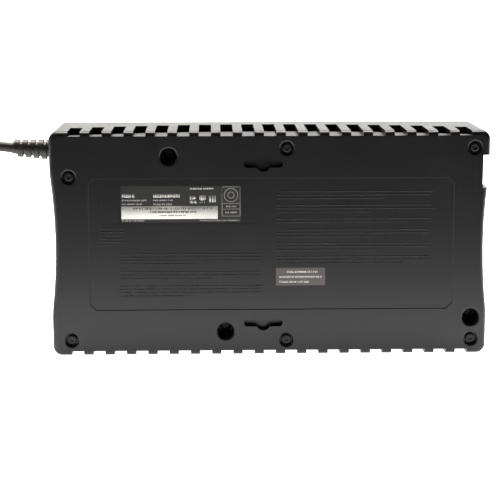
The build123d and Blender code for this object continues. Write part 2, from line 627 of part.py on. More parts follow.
# ---- ports in the right end ---------------------------------------------------------------------
PORT_Y = {"line_in": -27.0, "line_out": -12.0, "usb": 2.5}
with BuildPart() as port_board:
    slab(141.0, 142.6, 134.5, 152.0, -35.0, 12.0)
finish(port_board.part, "port_board")

with BuildPart() as phone_jacks:
    for y in (PORT_Y["line_in"], PORT_Y["line_out"]):
        slab(142.6, 161.6, PORT_Z - 6.0, PORT_Z + 6.0, y - 6.0, y + 6.0)
        slab(150.0, 162.0, PORT_Z - 4.9, PORT_Z + 4.9, y - 4.2, y + 3.2, Mode.SUBTRACT)
        slab(150.0, 162.0, PORT_Z - 3.1, PORT_Z + 3.1, y + 3.1, y + 4.9, Mode.SUBTRACT)
finish(phone_jacks.part, "phone_jacks")

with BuildPart() as usb_socket:
    y = PORT_Y["usb"]
    slab(142.6, 161.4, PORT_Z - 6.0, PORT_Z + 6.0, y - 5.4, y + 5.4)
    slab(151.0, 162.0, PORT_Z - 4.3, PORT_Z + 4.3, y - 3.9, y + 3.9, Mode.SUBTRACT)
    slab(151.0, 160.6, PORT_Z - 2.8, PORT_Z + 2.8, y - 1.6, y + 1.6)
finish(usb_socket.part, "usb_socket")


# ---- inner wires ----------------------------------------------------------------------------------
def wire(points, radius, bend):
    """Insulated wire along straight runs joined by arcs."""
    with BuildLine() as path:
        FilletPolyline(*points, radius=bend)
    with BuildSketch(Plane(path.line @ 0, z_dir=path.line % 0)) as section:
        Circle(radius)
    sweep(section.sketch, path=path.line)


LEADS = {"positive": (TABS_X[0], -8.0), "negative": (TABS_X[1], -3.0)}
for pole, (x, y_high) in LEADS.items():
    with BuildPart() as lead:
        z = BATTERY[3] + 3.2
        spot = -9.0 if pole == "positive" else -4.5
        land = 128.0 if pole == "positive" else 122.0
        wire([(x, -13.2, z), (x, y_high, z), (spot, y_high, z), (spot, y_high, land), (spot, BOARD_TOP, land)],
             1.5, 1.9)
    finish(lead.part, "battery_lead_" + pole)

with BuildPart() as mains_leads:
    for i, (z, x_end) in enumerate(((153.2, -60.0), (156.4, -54.0), (159.6, -48.0))):
        y_run = CORD_Y - 2.5 + 2.5 * i
        wire([(-161.0, y_run, z), (x_end, y_run, z), (x_end, y_run, 141.0 - 3 * i),
              (x_end, BOARD_TOP, 141.0 - 3 * i)], 1.1, 3.0)
finish(mains_leads.part, "mains_leads")

with BuildPart() as front_board_lead:
    wire([(UX, PANEL_BOARD_Y, 112.0), (UX, 27.4, 112.0), (UX, 27.4, 117.0), (-6.0, 27.4, 117.0),
          (-6.0, BOARD_TOP, 117.0)], 0.6, 0.7)
finish(front_board_lead.part, "front_board_lead")

# ---- cord -----------------------------------------------------------------------------------------
TIP_X, TIP_Y, TIP_Z = RELIEF_TIP
LEAN = math.atan2(TIP_Z - EXIT_Z, EXIT_X - TIP_X)
RELIEF_LONG = math.hypot(TIP_Z - EXIT_Z, EXIT_X - TIP_X)
relief_plane = Plane(origin=(EXIT_X, CORD_Y, EXIT_Z), x_dir=(0, 1, 0), z_dir=(-math.cos(LEAN), 0, math.sin(LEAN)))

with BuildPart() as strain_relief:
    # stem through the wall and its inner flange
    with BuildSketch(Plane.YZ.offset(EXIT_X - 1.5)):
        with Locations((CORD_Y, EXIT_Z)):
            Circle(5.8)
    extrude(amount=6.9)
    with BuildSketch(Plane.YZ.offset(EXIT_X + 3.4)):
        with Locations((CORD_Y, EXIT_Z)):
            Circle(8.0)
    extrude(amount=2.0)
    # tapered sleeve with two rows of half rings, the lower row half a pitch further out
    with BuildSketch(relief_plane.offset(0.9)):
        Circle(5.9)
    with BuildSketch(relief_plane.offset(RELIEF_LONG)):
        Circle(CORD_R + 0.8)
    loft()
    for i in range(2 * RING_ROWS - 1):
        upper = 1 - 2 * (i % 2)
        start = 0.9 + RING_PITCH / 2 * i
        big = RING_BIG - RING_SHRINK * i
        with BuildSketch(relief_plane.offset(start)):
            Circle(big)
            with Locations((0, upper * RING_BIG)):
                Rectangle(3 * RING_BIG, 2 * RING_BIG - RING_LAP, mode=Mode.SUBTRACT)
        extrude(amount=RING_LONG)
finish(strain_relief.part, "strain_relief")

CORD_ROUTE = [
    RELIEF_TIP,
    (-218.5, -11.1, 160.6),
    (-237.5, -11.9, 155.6),
    (-253.0, -14.0, 142.4),
    (-262.5, -17.6, 122.0),
    (-266.0, -22.8, 94.0),
    (-268.5, -28.0, 66.0),
    (-275.2, -34.5, 41.3),
    (-287.5, -36.0, 23.5),
    (-305.9, -36.2, 13.7),
    (-325.8, -30.4, 11.6),
]


def arc_radii(points):
    """Largest arc at each inner point: 0.45 of the shorter run over the tangent of half the turn."""
    radii = []
    for a, b, c in zip(points, points[1:], points[2:]):
        run_in = Vector(*b) - Vector(*a)
        run_out = Vector(*c) - Vector(*b)
        half_turn = math.radians(run_in.get_angle(run_out)) / 2
        radii.append(0.45 * min(run_in.length, run_out.length) / math.tan(half_turn))
    return radii


def cord_tube(points):
    radii = arc_radii(points)
    print("cord radii", [round(r, 1) for r in radii])
    with BuildLine() as path:
        FilletPolyline(*points, radius=radii)
    with BuildSketch(Plane(path.line @ 0, z_dir=path.line % 0)) as section:
        Circle(CORD_R)
    sweep(section.sketch, path=path.line)
    print("cord run", round(sum(edge.length for edge in path.edges()), 1))


with BuildPart() as power_cord:
    cord_tube(CORD_ROUTE)
finish(power_cord.part, "power_cord")

RING_HIGH = 2 * TURN
with BuildPart() as cord_coil:
    with BuildSketch(Plane.XY):
        with Locations(RING_AT):
            Circle(RING_R + 1.5 * TURN)
            Circle(RING_R - 1.5 * TURN, mode=Mode.SUBTRACT)
    extrude(amount=RING_HIGH)
    fillet(cord_coil.edges().filter_by(GeomType.CIRCLE), CORD_R * 0.9)
finish(cord_coil.part, "cord_coil")

TIE_AT = RING_AT[1] + RING_R
with BuildPart() as cord_tie:
    with BuildSketch(Plane.YZ.offset(RING_AT[0] - 3.0)):
        with Locations((TIE_AT, RING_HIGH / 2 + 0.6)):
            RectangleRounded(3 * TURN + 2.4, RING_HIGH + 1.2, 2.0)
            RectangleRounded(3 * TURN + 0.4, RING_HIGH, 1.6, mode=Mode.SUBTRACT)
    extrude(amount=6.0)
finish(cord_tie.part, "cord_tie")

LAST_R = RING_R + TURN
LEAVE = math.radians(UNWIND)
PLUG_X, PLUG_Y, PLUG_Z = -250.0, -12.0, CORD_R + 5.0
LEAD_ROUTE = [
    (RING_AT[0] + LAST_R * math.cos(LEAVE), RING_AT[1] + LAST_R * math.sin(LEAVE), CORD_R),
    (-253.1, 18.1, 3.95),
    (-251.1, 8.2, 5.35),
    (-250.2, -1.8, 8.0),
    (PLUG_X, PLUG_Y, PLUG_Z),
]
with BuildPart() as cord_lead:
    cord_tube(LEAD_ROUTE)
finish(cord_lead.part, "cord_lead")

PLUG_HIGH = 17.0
with BuildPart() as plug_body:
    # neck, then the grip, widening to the blade face
    for y0, y1, a0, b0, a1, b1 in ((0, 16, 10.0, 10.0, 15.0, 13.0), (16, 34, 15.0, 13.0, 26.0, PLUG_HIGH)):
        with BuildSketch(level(PLUG_Y - y0)):
            with Locations((PLUG_X, PLUG_Z)):
                RectangleRounded(a0, b0, 4.5)
        with BuildSketch(level(PLUG_Y - y1)):
            with Locations((PLUG_X, PLUG_Z)):
                RectangleRounded(a1, b1, 4.5)
        loft()
    with BuildSketch(level(PLUG_Y - 34)):
        with Locations((PLUG_X, PLUG_Z)):
            RectangleRounded(26.0, PLUG_HIGH, 4.5)
    extrude(amount=6.0)
finish(plug_body.part, "plug_body")

with BuildPart() as plug_blades:
    tip = PLUG_Y - 40
    for side in (-1, 1):
        x = PLUG_X + side * 6.35
        slab(x - 0.75, x + 0.75, PLUG_Z - 0.2, PLUG_Z + 6.1, tip - 16.0, tip)
    disc(PLUG_X, PLUG_Z - 5.6, 2.35, tip - 19.0, tip)
finish(plug_blades.part, "plug_blades")
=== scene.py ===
"""Looks of the uninterruptible power supply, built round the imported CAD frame. Metres, +Z up."""

import json
import math
import random

import bmesh
import bpy
from mathutils import Matrix, Vector


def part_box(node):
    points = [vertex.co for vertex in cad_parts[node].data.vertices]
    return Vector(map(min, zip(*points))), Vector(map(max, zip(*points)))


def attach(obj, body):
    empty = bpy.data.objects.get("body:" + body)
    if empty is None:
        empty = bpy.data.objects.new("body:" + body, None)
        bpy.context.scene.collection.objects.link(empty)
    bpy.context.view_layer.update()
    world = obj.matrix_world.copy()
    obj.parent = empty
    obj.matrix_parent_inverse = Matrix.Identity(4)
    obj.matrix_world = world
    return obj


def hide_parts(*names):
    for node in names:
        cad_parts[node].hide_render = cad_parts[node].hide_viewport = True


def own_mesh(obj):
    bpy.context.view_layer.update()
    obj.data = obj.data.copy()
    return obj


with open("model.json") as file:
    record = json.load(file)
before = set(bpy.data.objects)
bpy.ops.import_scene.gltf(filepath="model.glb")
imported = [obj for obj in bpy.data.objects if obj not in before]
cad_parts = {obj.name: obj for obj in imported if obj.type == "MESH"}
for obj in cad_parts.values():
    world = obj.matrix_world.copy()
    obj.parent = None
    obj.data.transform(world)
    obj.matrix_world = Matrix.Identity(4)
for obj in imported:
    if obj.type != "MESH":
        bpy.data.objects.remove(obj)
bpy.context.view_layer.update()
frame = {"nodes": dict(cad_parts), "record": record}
MM = 0.001


# ---- materials --------------------------------------------------------------------------------
def add_node(tree, kind, **values):
    """New shader node with its input sockets or properties set by name."""
    node = tree.nodes.new(kind)
    for key, value in values.items():
        if key in node.inputs:
            node.inputs[key].default_value = value
        else:
            setattr(node, key, value)
    return node


def surface(name, color, rough=0.5, metal=0.0, **look):
    """Principled surface whose grain, mottling and roughness come from noise in object space.

    look may hold grain (bump height in metres), grain_scale, bump (its strength), mottle (share of
    colour change), mottle_scale, rough_change, stretch (scale of the noise along each axis) and any
    Principled socket by name in sockets.
    """
    grain = look.get("grain", 0.00001)
    mottle = look.get("mottle", 0.06)
    change = look.get("rough_change", 0.06)
    made = bpy.data.materials.new(name)
    made.use_nodes = True
    tree = made.node_tree
    link = tree.links.new
    shader = tree.nodes["Principled BSDF"]
    shader.inputs["Metallic"].default_value = metal
    for key, value in look.get("sockets", {}).items():
        shader.inputs[key].default_value = value
    place = add_node(tree, "ShaderNodeTexCoord")
    stretch = add_node(tree, "ShaderNodeMapping", Scale=look.get("stretch", (1.0, 1.0, 1.0)))
    link(place.outputs["Object"], stretch.inputs["Vector"])
    cloud = add_node(tree, "ShaderNodeTexNoise", Scale=look.get("mottle_scale", 40.0), Detail=4.0)
    fine = add_node(tree, "ShaderNodeTexNoise", Scale=look.get("grain_scale", 2600.0), Detail=3.0)
    for noise in (cloud, fine):
        link(stretch.outputs["Vector"], noise.inputs["Vector"])
    tint = add_node(tree, "ShaderNodeValToRGB")
    low, high = tint.color_ramp.elements
    low.position, high.position = 0.3, 0.7
    low.color = [c * (1.0 - mottle) for c in color[:3]] + [1.0]
    high.color = [min(1.0, c * (1.0 + mottle)) for c in color[:3]] + [1.0]
    link(cloud.outputs["Fac"], tint.inputs["Fac"])
    link(tint.outputs["Color"], shader.inputs["Base Color"])
    dull = add_node(tree, "ShaderNodeMapRange")
    dull.inputs["To Min"].default_value = max(0.02, rough - change)
    dull.inputs["To Max"].default_value = min(1.0, rough + change)
    link(cloud.outputs["Fac"], dull.inputs["Value"])
    link(dull.outputs["Result"], shader.inputs["Roughness"])
    relief = add_node(tree, "ShaderNodeBump", Strength=look.get("bump", 0.5), Distance=grain)
    link(fine.outputs["Fac"], relief.inputs["Height"])
    link(relief.outputs["Normal"], shader.inputs["Normal"])
    return made


CASE_BLACK = surface("case_black", (0.0060, 0.0060, 0.0080), 0.30, grain=0.00005, grain_scale=1900,
                     mottle=0.10, mottle_scale=25, rough_change=0.05,
                     sockets={"Specular IOR Level": 0.44})
SCREW_BLACK = surface("screw_black", (0.030, 0.030, 0.032), 0.38, 0.75, grain_scale=3000, mottle=0.25)
CORD_BLACK = surface("cord_black", (0.016, 0.016, 0.017), 0.50, grain=0.00004, grain_scale=1500,
                     mottle=0.12)
RELIEF_BLACK = surface("relief_black", (0.020, 0.020, 0.021), 0.40, grain=0.00003, grain_scale=1500)
LABEL_GREY = surface("label_grey", (0.022, 0.023, 0.023), 0.40, grain_scale=900, mottle=0.05)
LABEL_FILM = surface("label_film", (0.105, 0.092, 0.090), 0.34, grain_scale=900, mottle=0.05)
PRINT_WHITE = surface("print_white", (0.62, 0.62, 0.60), 0.55, mottle=0.05, mottle_scale=300)
PRINT_GREY = surface("print_grey", (0.34, 0.34, 0.33), 0.55, mottle=0.06, mottle_scale=300)
STRIP_WHITE = surface("strip_white", (0.80, 0.80, 0.76), 0.45, mottle=0.03)
PRINT_DARK = surface("print_dark", (0.13, 0.12, 0.11), 0.55, mottle=0.10, mottle_scale=300)
BUTTON_GREY = surface("button_grey", (0.055, 0.057, 0.060), 0.36, grain=0.00003, grain_scale=1900)
LIGHT_PIPE = surface("light_pipe", (0.55, 0.62, 0.55), 0.12, mottle=0.02,
                     sockets={"Transmission Weight": 0.75, "IOR": 1.49})
BLADE_BRASS = surface("blade_brass", (0.80, 0.62, 0.30), 0.24, 1.0, stretch=(1, 12, 1), mottle=0.10)
TIE_FABRIC = surface("tie_fabric", (0.020, 0.020, 0.021), 0.90, grain=0.00025, grain_scale=1400,
                     bump=0.9, mottle=0.25, mottle_scale=700, sockets={"Sheen Weight": 0.3})
INNER = {
    "battery_grey": surface("battery_grey", (0.10, 0.11, 0.12), 0.45, grain=0.00003),
    "tab_brass": surface("tab_brass", (0.72, 0.68, 0.60), 0.30, 1.0),
    "foam": surface("foam", (0.05, 0.05, 0.05), 0.95, grain=0.0004, grain_scale=900, bump=1.0),
    "wire_red": surface("wire_red", (0.42, 0.02, 0.015), 0.45),
    "wire_black": surface("wire_black", (0.02, 0.02, 0.02), 0.45),
    "inner_plastic": surface("inner_plastic", (0.40, 0.38, 0.33), 0.45),
    "core_steel": surface("core_steel", (0.12, 0.12, 0.125), 0.50, 0.6, stretch=(1, 1, 60), grain=0.0002,
                          grain_scale=60, bump=0.8),
    "winding": surface("winding", (0.50, 0.30, 0.06), 0.40, stretch=(1, 40, 1), grain=0.0002, grain_scale=60),
    "plated_steel": surface("plated_steel", (0.55, 0.56, 0.55), 0.32, 1.0, stretch=(1, 1, 20)),
    "screw_steel": SCREW_BLACK,
    "board_green": surface("board_green", (0.012, 0.10, 0.035), 0.35, mottle=0.2, mottle_scale=300),
    "heat_sink": surface("heat_sink", (0.62, 0.62, 0.64), 0.38, 1.0, stretch=(1, 20, 1)),
    "chip_black": surface("chip_black", (0.020, 0.020, 0.020), 0.55, grain=0.00004),
    "relay_case": surface("relay_case", (0.015, 0.03, 0.08), 0.22),
    "capacitor_sleeve": surface("capacitor_sleeve", (0.012, 0.014, 0.05), 0.22),
    "film_box": surface("film_box", (0.55, 0.38, 0.03), 0.25),
    "varistor_disc": surface("varistor_disc", (0.03, 0.12, 0.42), 0.30, mottle=0.15),
    "choke": surface("choke", (0.42, 0.18, 0.04), 0.30, stretch=(1, 1, 12), grain=0.0003, grain_scale=200),
    "fuse_body": surface("fuse_body", (0.65, 0.25, 0.03), 0.15, sockets={"Transmission Weight": 0.4}),
    "button_grey": BUTTON_GREY,
    "spring_steel": surface("spring_steel", (0.55, 0.55, 0.56), 0.25, 1.0),
    "led_body": surface("led_body", (0.30, 0.62, 0.32), 0.15, sockets={"Transmission Weight": 0.5}),
    "light_pipe": LIGHT_PIPE,
    "jack_black": surface("jack_black", (0.018, 0.018, 0.018), 0.35, grain=0.00002),
    "usb_shell": surface("usb_shell", (0.60, 0.60, 0.61), 0.25, 1.0, mottle=0.10),
    "strip_brass": surface("strip_brass", (0.78, 0.55, 0.20), 0.28, 1.0, stretch=(10, 1, 1)),
    "case_black": CASE_BLACK,
    "label_grey": LABEL_GREY,
    "label_film": LABEL_FILM,
    "cord_black": CORD_BLACK,
    "tie_black": TIE_FABRIC,
    "blade_brass": BLADE_BRASS,
}


def dress(obj, material):
    """The object takes the material as its only one."""
    obj.data.materials.clear()
    obj.data.materials.append(material)


def dress_nodes():
    """Every CAD node takes the finish of its record slot."""
    slots = {entry["node"]: entry["material_slot"] for entry in frame["record"]["subparts"]}
    for name, obj in frame["nodes"].items():
        for part_slot in obj.material_slots:
            part_slot.material = INNER[slots[name]]


# ---- mesh helpers -------------------------------------------------------------------------------
WELD = 2e-6                     # vertices of the CAD mesh closer than this are one
SHARP_ANGLE = 32                # degrees, above which an edge of a CAD piece is sharp


def new_piece(name, mesh, material, body="case", slot=None):
    """Mesh object in the scene, riding on a body."""
    obj = bpy.data.objects.new(name, mesh)
    bpy.context.scene.collection.objects.link(obj)
    dress(obj, material)
    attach(obj, body)
    return obj


def from_bmesh(name, bm, material, **ride):
    """New smooth-shaded piece from a bmesh, which is used up."""
    mesh = bpy.data.meshes.new(name)
    bmesh.ops.recalc_face_normals(bm, faces=bm.faces)
    bm.to_mesh(mesh)
    bm.free()
    for face in mesh.polygons:
        face.use_smooth = True
    return new_piece(name, mesh, material, **ride)


def weigh_normals(obj):
    """Shading that keeps the flats flat."""
    weigh = obj.modifiers.new("flat_normals", "WEIGHTED_NORMAL")
    weigh.mode = "FACE_AREA"
    weigh.weight = 100
    weigh.thresh = 0.001
    weigh.keep_sharp = True


def mark_sharp(obj):
    """Keeps the edges of a piece sharp in shading, without a bevel."""
    sharp = math.radians(SHARP_ANGLE)
    bm = bmesh.new()
    bm.from_mesh(obj.data)
    for edge in bm.edges:
        edge.smooth = edge.is_manifold and edge.calc_face_angle(0.0) < sharp
    bm.to_mesh(obj.data)
    bm.free()
    weigh_normals(obj)


def round_edges(obj, width, segments=2, angle=SHARP_ANGLE):
    """Bevels the edges sharper than the angle."""
    bevel = obj.modifiers.new("edge_round", "BEVEL")
    bevel.width = width
    bevel.segments = segments
    bevel.limit_method = "ANGLE"
    bevel.angle_limit = math.radians(angle)
    bevel.use_clamp_overlap = False
    weigh_normals(obj)


def refined(node, width, material, body="case", slot=None):
    """Visible copy of a CAD node that replaces it, with its edges rounded, or kept where width is None."""
    mesh = frame["nodes"][node].data.copy()
    bm = bmesh.new()
    bm.from_mesh(mesh)
    bmesh.ops.remove_doubles(bm, verts=bm.verts, dist=WELD)
    bm.to_mesh(mesh)
    bm.free()
    for layer in ("custom_normal", "sharp_edge", "sharp_face"):
        if layer in mesh.attributes:
            mesh.attributes.remove(mesh.attributes[layer])
    for face in mesh.polygons:
        face.use_smooth = True
    obj = new_piece(node + "_shell", mesh, material, body, slot)
    if width is None:
        mark_sharp(obj)
    else:
        round_edges(obj, width)
    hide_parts(node)
    return obj


def block(bm, low, high):
    """Adds a closed block between two corners."""
    (x0, y0, z0), (x1, y1, z1) = low, high
    corners = [bm.verts.new((x, y, z)) for x in (x0, x1) for y in (y0, y1) for z in (z0, z1)]
    for ids in ((0, 1, 3, 2), (4, 6, 7, 5), (0, 4, 5, 1), (2, 3, 7, 6), (0, 2, 6, 4), (1, 5, 7, 3)):
        bm.faces.new([corners[i] for i in ids])


def rings(bm, loops):
    """Skins a run of closed loops with the same number of points and caps both ends."""
    rows = [[bm.verts.new(p) for p in loop] for loop in loops]
    count = len(rows[0])
    for a, b in zip(rows, rows[1:]):
        for i in range(count):
            j = (i + 1) % count
            bm.faces.new((a[i], a[j], b[j], b[i]))
    bm.faces.new(list(reversed(rows[0])))
    bm.faces.new(rows[-1])


def circle(x, y, z, radius, steps):
    """Loop of points round the Y axis."""
    return [(x + radius * math.cos(t), y, z + radius * math.sin(t))
            for t in (math.tau * i / steps for i in range(steps))]


# ---- shells -------------------------------------------------------------------------------------
def shells():
    """The moulded parts of the outside and the cord's tie."""
    refined("base_plate", None, CASE_BLACK, slot="case_black")
    refined("top_cover", None, CASE_BLACK, slot="case_black")
    refined("strain_relief", 0.25 * MM, RELIEF_BLACK, slot="cord_black")
    refined("cord_tie", 0.15 * MM, TIE_FABRIC, slot="tie_black")
    for name in ("power_button", "breaker_button"):
        refined(name, 0.2 * MM, BUTTON_GREY, body=name, slot="button_grey")


# ---- labels -------------------------------------------------------------------------------------
PRINT_T = 0.05 * MM             # half the thickness of a printed block
FRAME_LINE = 0.35 * MM          # width of the badge's frame
BADGE_RINGS = (5.4 * MM, 2.6 * MM)
BADGE_RING_W = 0.5 * MM
BADGE_STEPS = 24
STRIP_T = 0.08 * MM             # how far the white strip stands out

# Shares of the label's width and height: start, end, bottom, top of each line of print.
WHITE_ROWS = [
    (0.010, 0.115, 0.68, 0.775), (0.270, 0.490, 0.68, 0.775),
    (0.575, 0.770, 0.90, 0.945),
    (0.575, 0.630, 0.62, 0.72), (0.575, 0.630, 0.52, 0.60),
    (0.655, 0.705, 0.60, 0.74), (0.735, 0.800, 0.55, 0.74),
]
GREY_ROWS = [
    (0.010, 0.215, 0.585, 0.635), (0.270, 0.430, 0.585, 0.635),
    (0.010, 0.180, 0.485, 0.530), (0.270, 0.430, 0.475, 0.530),
    (0.655, 0.700, 0.53, 0.57),
    (0.010, 0.200, 0.035, 0.075), (0.655, 0.985, 0.035, 0.075),
]
BADGE_ROWS = [(0.870, 0.965, 0.245, 0.300), (0.875, 0.960, 0.410, 0.455)]
BADGE_FRAME = (0.842, 0.992, 0.17, 0.965)
BADGE_BARS = (0.24, 0.43)       # heights of the two cross lines as shares of the frame
BADGE_CENTRE = (0.917, 0.74)
STRIP = (0.004, 0.806, 0.095, 0.445)


def greeked(bm, x0, x1, z0, z1, y, rng, mean=1.1 * MM, gap=0.35 * MM, thick=PRINT_T):
    """One line of illegible print: short blocks of uneven width between x0 and x1."""
    x = x0
    while x < x1 - 0.3 * MM:
        width = min(mean * rng.uniform(0.45, 1.25), x1 - x)
        lift = (z1 - z0) * rng.choice((0.0, 0.0, 0.12))
        block(bm, (x, y - thick, z0 + lift), (x + width, y + thick, z1))
        x += width + gap * rng.choice((0.6, 1.0, 1.0, 2.4))


def on_label(u, v):
    """Place on the rating label, as shares of its width and height."""
    low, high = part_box("rating_label")
    return low.x + u * (high.x - low.x), low.z + v * (high.z - low.z)


def label_lines(bm, shares, y, rng):
    """Lines of illegible print on the rating label."""
    for u0, u1, v0, v1 in shares:
        x0, z0 = on_label(u0, v0)
        x1, z1 = on_label(u1, v1)
        greeked(bm, x0, x1, z0, z1, y, rng)


def badge_frame(bm, y):
    """Plain frame with two cross lines."""
    u0, u1, v0, v1 = BADGE_FRAME
    x0, z0 = on_label(u0, v0)
    x1, z1 = on_label(u1, v1)
    half = FRAME_LINE / 2
    for z in (z0, *(z0 + share * (z1 - z0) for share in BADGE_BARS), z1):
        block(bm, (x0, y - PRINT_T, z - half), (x1, y + PRINT_T, z + half))
    for x in (x0, x1):
        block(bm, (x - half, y - PRINT_T, z0), (x + half, y + PRINT_T, z1))


def badge_rings(bm, y):
    """Two plain rings in the upper part of the badge, made of short flat blocks."""
    cx, cz = on_label(*BADGE_CENTRE)
    for radius in BADGE_RINGS:
        for i in range(BADGE_STEPS):
            a, b = (math.tau * (i + k) / BADGE_STEPS for k in (0, 1))
            inner = radius - BADGE_RING_W
            quad = [(cx + r * math.cos(t), cz + r * math.sin(t))
                    for r, t in ((radius, a), (radius, b), (inner, b), (inner, a))]
            front = [bm.verts.new((x, y - PRINT_T, z)) for x, z in quad]
            back = [bm.verts.new((x, y + PRINT_T, z)) for x, z in quad]
            bm.faces.new(front)
            bm.faces.new(list(reversed(back)))
            for k in range(4):
                bm.faces.new((front[k], front[(k + 1) % 4], back[(k + 1) % 4], back[k]))


def strip_print(x0, x1, z_top, y, rng):
    """Plain bars and two lines of print on the white strip."""
    bm = bmesh.new()
    x = x0 + 9.0 * MM
    while x < x1 - 3.5 * MM:
        bar = rng.choice((0.25, 0.4, 0.7)) * MM
        block(bm, (x, y - 0.11 * MM, z_top - 2.6 * MM), (x + bar, y - 0.05 * MM, z_top - 1.1 * MM))
        x += bar + rng.choice((0.3, 0.5, 0.9, 1.6)) * MM
    face = y - 0.06 * MM
    for start, end, low, high, mean in ((22, 57, 5.3, 3.9, 1.3), (29, 49, 7.6, 6.8, 0.8)):
        greeked(bm, x0 + start * MM, x0 + end * MM, z_top - low * MM, z_top - high * MM, face, rng, mean * MM)
    from_bmesh("label_strip_print", bm, PRINT_DARK)


def label_print():
    """Generic print on the rating label: line blocks, a white strip with plain bars, an empty badge."""
    rng = random.Random(5)
    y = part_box("rating_label")[0].y
    white = bmesh.new()
    label_lines(white, WHITE_ROWS, y, rng)
    from_bmesh("label_print_white", white, PRINT_WHITE)
    grey = bmesh.new()
    label_lines(grey, GREY_ROWS, y, rng)
    badge_frame(grey, y)
    label_lines(grey, BADGE_ROWS, y, rng)
    badge_rings(grey, y)
    from_bmesh("label_print_grey", grey, PRINT_GREY)
    strip = bmesh.new()
    u0, u1, v0, v1 = STRIP
    x0, z0 = on_label(u0, v0)
    x1, z1 = on_label(u1, v1)
    block(strip, (x0, y - STRIP_T, z0), (x1, y + PRINT_T, z1))
    from_bmesh("label_strip", strip, STRIP_WHITE)
    strip_print(x0, x1, z1, y, rng)


def small_label_print():
    """Three lines of illegible print on the small label."""
    rng = random.Random(9)
    low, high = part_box("small_label")
    width = high.x - low.x
    bm = bmesh.new()
    for row, (u0, u1) in enumerate(((0.22, 0.86), (0.07, 0.93), (0.07, 0.70))):
        z1 = high.z - (2.3 + 3.9 * row) * MM
        greeked(bm, low.x + u0 * width, low.x + u1 * width, z1 - 1.5 * MM, z1, low.y, rng)
    from_bmesh("small_label_print", bm, PRINT_WHITE)


# ---- moulded marks ------------------------------------------------------------------------------
PANEL_DEEP = 0.6 * MM           # depth of the base plate's recessed panel
MARK_STEP = 2.6                 # mm from one row of marks to the next
MARK_HIGH = 1.3
MARK_BLOCKS = [                 # start X, end X, top Z of the first row, number of rows
    (5.0, 125.0, 128.0, 3), (5.0, 125.0, 117.5, 3), (5.0, 125.0, 107.0, 2),
    (5.0, 125.0, 98.5, 3), (5.0, 125.0, 88.0, 3), (5.0, 125.0, 77.5, 3),
    (-130.0, -110.0, 100.0, 6), (-115.0, -5.0, 80.0, 4), (-115.0, -5.0, 66.0, 3),
    (-115.0, -5.0, 55.0, 4),
]


def moulded_lines():
    """Rows of low raised marks moulded in the base, too small to read."""
    rng = random.Random(3)
    panel_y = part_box("base_plate")[0].y + PANEL_DEEP
    bm = bmesh.new()
    for x0, x1, z_top, count in MARK_BLOCKS:
        for i in range(count):
            z1 = (z_top - i * MARK_STEP) * MM
            last = i == count - 1
            end = x1 - (rng.uniform(0.1, 0.5) * (x1 - x0) if last else rng.uniform(0, 3))
            z0 = z1 - MARK_HIGH * MM
            greeked(bm, x0 * MM, end * MM, z0, z1, panel_y, rng, 0.9 * MM, 0.4 * MM, 0.07 * MM)
    from_bmesh("moulded_lines", bm, CASE_BLACK, slot="case_black")


# ---- screws -------------------------------------------------------------------------------------
HEAD_STEPS = 48
HEAD_PROFILE = [(0.62, 0.02), (0.84, 0.10), (0.95, 0.28), (1.0, 0.55), (1.0, 0.96)]  # shares of radius, dome
SHANK = 0.36                    # shares of the head's radius
DRIVE = 0.42
DRIVE_STEPS = [(0.8, 1.3 * MM), (0.96, 1.2 * MM), (1.0, 0.12 * MM), (1.12, 0.03 * MM)]  # share, depth


def loose_parts(obj):
    """Points of each separate solid of a CAD group."""
    bm = bmesh.new()
    bm.from_mesh(obj.data)
    bmesh.ops.remove_doubles(bm, verts=bm.verts, dist=WELD)
    seen, parts = set(), []
    for start in bm.verts:
        if start.index in seen:
            continue
        stack, part = [start], []
        seen.add(start.index)
        while stack:
            vert = stack.pop()
            part.append(vert.co.copy())
            for edge in vert.link_edges:
                other = edge.other_vert(vert)
                if other.index not in seen:
                    seen.add(other.index)
                    stack.append(other)
        parts.append(part)
    bm.free()
    return parts


def drive_loop(x, z, y, reach):
    """Closed six-sided loop with soft corners."""
    points = []
    for i in range(HEAD_STEPS):
        t = math.tau * i / HEAD_STEPS
        off = (t % (math.pi / 3)) - math.pi / 6
        radius = reach * 0.866 / math.cos(off) * 0.7 + reach * 0.3 * 0.93
        points.append((x + radius * math.cos(t), y, z + radius * math.sin(t)))
    return points


def screw_heads(node, name, head_r, dome):
    """Pan heads with a six-sided socket and plain shanks, one on each screw of the CAD group."""
    bm = bmesh.new()
    for part in loose_parts(frame["nodes"][node]):
        top = min(p.y for p in part)
        end = max(p.y for p in part)
        x = (min(p.x for p in part) + max(p.x for p in part)) / 2
        z = (min(p.z for p in part) + max(p.z for p in part)) / 2
        shank = head_r * SHANK
        loops = [drive_loop(x, z, top + deep, head_r * DRIVE * share) for share, deep in DRIVE_STEPS]
        loops += [circle(x, top + dome * deep, z, head_r * share, HEAD_STEPS) for share, deep in HEAD_PROFILE]
        for radius, y in ((shank, top + dome), (shank, end - 1.0 * MM), (shank * 0.4, end)):
            loops.append(circle(x, y, z, radius, HEAD_STEPS))
        rings(bm, loops)
    piece = from_bmesh(name, bm, SCREW_BLACK, slot="screw_steel")
    round_edges(piece, 0.08 * MM, 2, 40)
    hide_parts(node)


